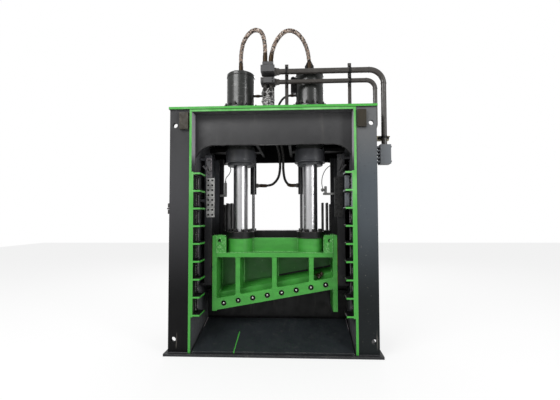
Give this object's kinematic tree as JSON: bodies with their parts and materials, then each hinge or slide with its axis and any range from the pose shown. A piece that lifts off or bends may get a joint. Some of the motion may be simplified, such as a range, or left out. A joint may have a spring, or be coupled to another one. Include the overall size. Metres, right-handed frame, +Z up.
{
  "type": "gantry shear",
  "caption": "Free-standing hydraulic gantry shear: a plate frame with a slanted-blade carriage between side guides, a hold-down, a chute and piping on top.",
  "frame": {"origin": "on the floor, at the middle of the frame's width and depth, in the base plate's underside", "axes": "+X to the right seen from the discharge side, +Y back to the feed side, +Z up"},
  "size_m": [2.357, 1.11, 3.503],
  "materials": {
    "green_paint": "semi-gloss enamel, worn at the edges",
    "dark_green_paint": "semi-gloss enamel",
    "grey_paint": "satin enamel",
    "black_paint": "gloss enamel",
    "black_screws": "blackened",
    "olive_paint": "satin enamel",
    "worn_steel": "worn",
    "chromed_rod": "polished hard chrome",
    "guide_bronze": "machined bronze",
    "hose_sleeve": "woven sleeve over rubber"
  },
  "bodies": {
    "frame": {"base_plate": "grey_paint", "web_plates": "green_paint", "front_flanges": "grey_paint", "rear_flanges": "grey_paint", "column_stiffeners": "grey_paint", "pad_plates": "olive_paint", "top_plate": "green_paint", "front_header": "grey_paint", "rear_header": "grey_paint", "header_ribs": "green_paint", "rib_combs": "green_paint", "guides": "grey_paint", "gib_covers": "worn_steel", "gib_cover_screws": "black_screws", "eye_plates": "grey_paint", "bed_frame": "grey_paint", "bed_table": "worn_steel", "lower_blades": "worn_steel", "lower_blade_bolts": "black_screws", "discharge_chute": "grey_paint", "main_barrels": "black_paint", "barrel_caps": "black_paint", "gland_collars": "black_paint", "seat_flanges": "black_paint", "seat_bolt_ring": "black_screws", "hold_down_cylinders": "black_paint", "hold_down_crossbar": "grey_paint", "hold_down_guides": "grey_paint", "valve_blocks": "black_paint", "pressure_pipe": "black_paint", "return_pipe": "black_paint", "pipe_posts": "grey_paint", "pipe_clamps": "black_paint", "port_block": "black_paint", "hose_fittings": "worn_steel", "side_valve": "black_paint", "left_cylinder_hose": "hose_sleeve", "right_cylinder_hose": "hose_sleeve", "left_hold_down_hose": "hose_sleeve", "right_hold_down_hose": "hose_sleeve", "left_drain_hose": "hose_sleeve", "right_drain_hose": "hose_sleeve"},
    "carriage": {"knife_front_plate": "green_paint", "knife_back_plate": "dark_green_paint", "knife_blade_bar": "green_paint", "knife_side_plates": "green_paint", "knife_uprights": "dark_green_paint", "knife_deck": "green_paint", "corner_blocks": "green_paint", "rod_bosses": "green_paint", "guide_shoes": "guide_bronze", "upper_blades": "worn_steel", "upper_blade_bolts": "worn_steel", "main_rods": "chromed_rod", "rod_flanges": "black_paint", "rod_flange_bolts": "black_screws"},
    "hold_down": {"hold_down_beam": "black_paint", "hold_down_ears": "black_paint", "hold_down_legs": "black_paint", "hold_down_rods": "chromed_rod"}
  },
  "joints": [
    {"name": "knife_stroke", "type": "slide", "parent": "frame", "child": "carriage", "axis": [0, 0, 1], "range_m": [0, 0.65]},
    {"name": "hold_down_travel", "type": "slide", "parent": "frame", "child": "hold_down", "axis": [0, 0, 1], "range_m": [-0.26, 0.42]}
  ]
}
